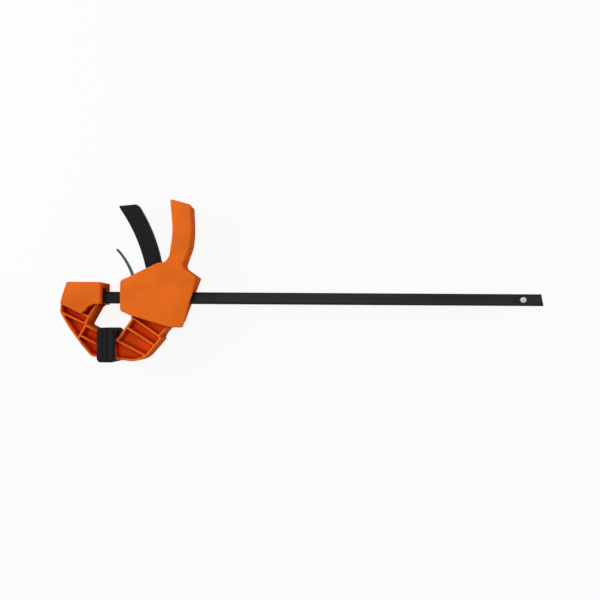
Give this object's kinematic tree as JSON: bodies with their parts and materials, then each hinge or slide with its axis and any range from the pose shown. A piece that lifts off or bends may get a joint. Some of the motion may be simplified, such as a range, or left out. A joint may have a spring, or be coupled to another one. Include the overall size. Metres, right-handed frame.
{
  "type": "quick release bar clamp",
  "caption": "One-hand trigger bar clamp: a fixed jaw on a flat steel bar, a sliding jaw with pistol handle, squeeze trigger and release lever, with soft pads.",
  "frame": {"origin": "on the bar's centre line, in the plane of the fixed jaw's clamping face", "axes": "+X along the bar to its free end, +Y towards the handle and trigger, +Z out of the front cover"},
  "size_m": [0.4397, 0.1477, 0.029],
  "materials": {
    "bar_steel": "black oxide, satin",
    "bright_steel": "ground, zinc plated",
    "orange_nylon": "moulded, fine satin texture",
    "pad_rubber": "matte soft pad",
    "screw_steel": "black zinc",
    "black_nylon": "moulded, fine satin texture",
    "hard_steel": "hardened and blackened sheet",
    "spring_steel": "drawn wire"
  },
  "bodies": {
    "bar_and_fixed_jaw": {"bar": "bar_steel", "stop_pin": "bright_steel", "fixed_jaw": "orange_nylon", "jaw_pin_left": "bright_steel", "jaw_pin_right": "bright_steel", "fixed_jaw_pad": "pad_rubber"},
    "moving_jaw": {"housing": "orange_nylon", "front_cover": "orange_nylon", "body_screws": "screw_steel", "handle_screws": "screw_steel", "moving_jaw_pad": "pad_rubber", "trigger_pin": "bright_steel", "brake_spring": "spring_steel"},
    "trigger": {"trigger": "black_nylon"},
    "drive": {"drive_plate_left": "hard_steel", "drive_plate_right": "hard_steel", "drive_washer": "bright_steel", "drive_spring": "spring_steel"},
    "release_lever": {"release_lever": "hard_steel"}
  },
  "joints": [
    {"name": "jaw_slide", "type": "slide", "parent": "bar_and_fixed_jaw", "child": "moving_jaw", "axis": [1, 0, 0], "range_m": [0, 0.3]},
    {"name": "trigger_squeeze", "type": "hinge", "parent": "moving_jaw", "child": "trigger", "pos_m": [0.043, -0.0127, 0], "axis": [0, 0, -1], "range_deg": [0, 13], "stiffness_Nm_per_rad": 0.5, "springref_deg": -8.59},
    {"name": "drive_stroke", "type": "slide", "parent": "moving_jaw", "child": "drive", "axis": [1, 0, 0], "range_m": [0, 0.005], "deforming": ["drive_spring"]},
    {"name": "release_press", "type": "hinge", "parent": "moving_jaw", "child": "release_lever", "pos_m": [0.026, -0.009, 0], "axis": [0, 0, -1], "range_deg": [0, 9], "stiffness_Nm_per_rad": 0.05, "springref_deg": -8.59, "deforming": ["brake_spring"]}
  ],
  "couplings": [
    {"joint": "drive_stroke", "follows": "trigger_squeeze", "m_per_rad": 0.022}
  ]
}
